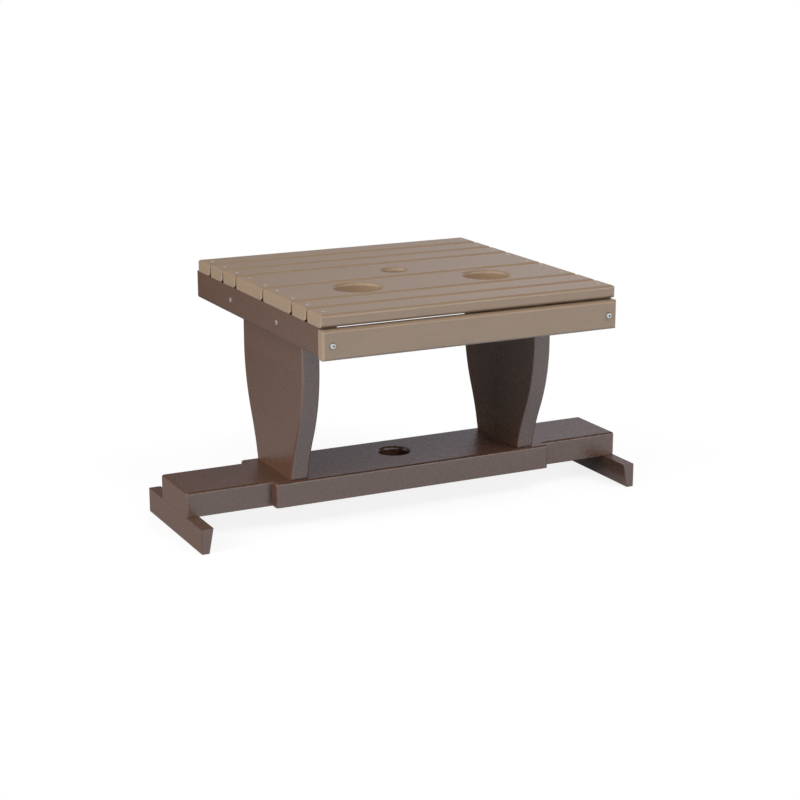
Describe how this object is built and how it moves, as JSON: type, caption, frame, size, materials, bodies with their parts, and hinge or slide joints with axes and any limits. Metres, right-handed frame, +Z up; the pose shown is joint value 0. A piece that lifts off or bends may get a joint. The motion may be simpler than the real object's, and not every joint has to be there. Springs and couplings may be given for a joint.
{
  "type": "outdoor side table",
  "caption": "Slatted outdoor side table on shaped legs and a long base board, with cup holes, an umbrella hole and cross feet that hook onto the chairs beside it.",
  "frame": {"origin": "on the floor, at the middle of the table's outline", "axes": "+X along the base board towards the right foot, +Y from the front apron to the back, +Z up"},
  "size_m": [0.9906, 0.6558, 0.489],
  "materials": {
    "tan_lumber": "satin, lightly grained",
    "brown_lumber": "satin, lightly grained",
    "stainless_steel": "satin"
  },
  "bodies": {
    "root": {"slat_1_back": "tan_lumber", "slat_2": "tan_lumber", "slat_3": "tan_lumber", "slat_4_umbrella": "tan_lumber", "slat_5_cup_holder": "tan_lumber", "slat_6": "tan_lumber", "slat_7_front": "tan_lumber", "front_apron": "tan_lumber", "cup_floor_left": "tan_lumber", "cup_floor_right": "tan_lumber", "side_rail_left": "brown_lumber", "side_rail_right": "brown_lumber", "leg_left": "brown_lumber", "leg_right": "brown_lumber", "base_board": "brown_lumber", "foot_left": "brown_lumber", "foot_right": "brown_lumber", "slat_screws_left": "stainless_steel", "slat_screws_right": "stainless_steel", "apron_screws": "stainless_steel", "leg_screws_left": "stainless_steel", "leg_screws_right": "stainless_steel", "leg_base_screws_left": "stainless_steel", "leg_base_screws_right": "stainless_steel", "foot_screws_left": "stainless_steel", "foot_screws_right": "stainless_steel", "cup_floor_screws": "stainless_steel"}
  },
  "joints": []
}
